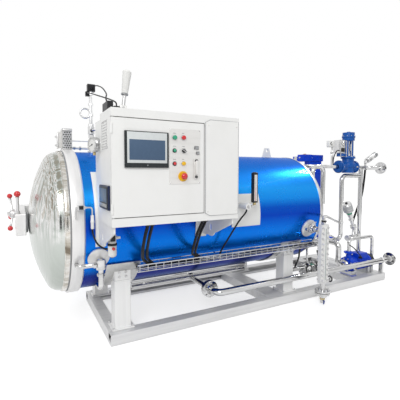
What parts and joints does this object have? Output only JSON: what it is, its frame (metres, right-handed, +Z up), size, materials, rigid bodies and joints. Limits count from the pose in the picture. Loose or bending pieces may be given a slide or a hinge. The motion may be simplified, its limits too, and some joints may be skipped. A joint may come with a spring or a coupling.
{
  "type": "retort sterilizer",
  "caption": "Horizontal food retort sterilizer on a skid: a blue-clad pressure vessel with a dished swing door, a hung control cabinet, and pump and steam pipework at the rear.",
  "frame": {"origin": "underside of the skid's middle cross beam at floor level, on the vessel's axis plane, midway along the skid", "axes": "+X along the vessel from the door to the rear pipework, -Y towards the operator's side, +Z up"},
  "size_m": [4.1939, 1.772, 1.988],
  "materials": {
    "white_paint": "satin white enamel",
    "skid_steel": "satin blasted stainless",
    "blue_cladding": "glossy blue enamel",
    "polished_steel": "mirror polished stainless",
    "satin_steel": "brushed stainless",
    "chamber_steel": "brushed stainless",
    "valve_blue": "gloss blue enamel",
    "red_plastic": "gloss red plastic",
    "black_plastic": "moulded black plastic",
    "screen_dark": "dark bezel with a glass front",
    "lamp_white": "milky translucent plastic",
    "cable_black": "black sheathed cable",
    "button_mix": "coloured push buttons"
  },
  "bodies": {
    "plant": {"near_rail": "skid_steel", "far_rail": "skid_steel", "cross_beams": "skid_steel", "legs": "skid_steel", "front_saddle": "skid_steel", "rear_saddle": "skid_steel", "pressure_shell": "chamber_steel", "cladding": "blue_cladding", "flange_ring": "white_paint", "rear_rim": "satin_steel", "rear_head": "satin_steel", "lifting_lugs": "white_paint", "hinge_bracket": "white_paint", "cabinet_body": "white_paint", "cabinet_cover": "white_paint", "side_recorder": "screen_dark", "cabinet_brackets": "white_paint", "vessel_pads": "white_paint", "signal_lamp": "lamp_white", "cable_connectors": "black_plastic", "thermometer": "black_plastic", "filter_regulator": "black_plastic", "front_nozzle": "polished_steel", "ring_valve": "satin_steel", "rear_nozzle": "polished_steel", "level_gauge": "satin_steel", "stand_pipe": "satin_steel", "pressure_gauge": "polished_steel", "valve_guard": "satin_steel", "cable_tray": "polished_steel", "cabinet_cables": "cable_black", "air_hoses": "cable_black", "sump_header": "polished_steel", "drain_valve": "polished_steel", "drain_main": "polished_steel", "risers": "polished_steel", "control_valve": "valve_blue", "steam_inlet": "polished_steel", "vent_pipe": "polished_steel", "rear_actuator": "valve_blue", "angle_valve": "satin_steel", "pump": "valve_blue", "pump_motor": "valve_blue", "pump_pipes": "polished_steel", "rear_valves": "polished_steel"},
    "vessel_door": {"door_dome": "polished_steel", "door_rim": "polished_steel", "swing_arm": "white_paint", "lock_lever": "satin_steel"},
    "star": {"star_handle": "satin_steel", "handle_balls": "red_plastic"},
    "cabinet_door_leaf": {"cabinet_door": "white_paint", "touch_panel": "screen_dark", "button_plate": "satin_steel", "push_buttons": "button_mix", "cabinet_latch": "black_plastic"}
  },
  "joints": [
    {"name": "vessel_door_swing", "type": "hinge", "parent": "plant", "child": "vessel_door", "pos_m": [-1.827, 0.69, 0.875], "axis": [0, 0, -1], "range_deg": [0, 110]},
    {"name": "star_handle_turn", "type": "hinge", "parent": "vessel_door", "child": "star", "pos_m": [-2.2, 0, 0.955], "axis": [-1, 0, 0], "continuous": true},
    {"name": "cabinet_door_swing", "type": "hinge", "parent": "plant", "child": "cabinet_door_leaf", "pos_m": [-1.698, -0.991, 1.3], "axis": [0, 0, -1], "range_deg": [0, 110]}
  ]
}
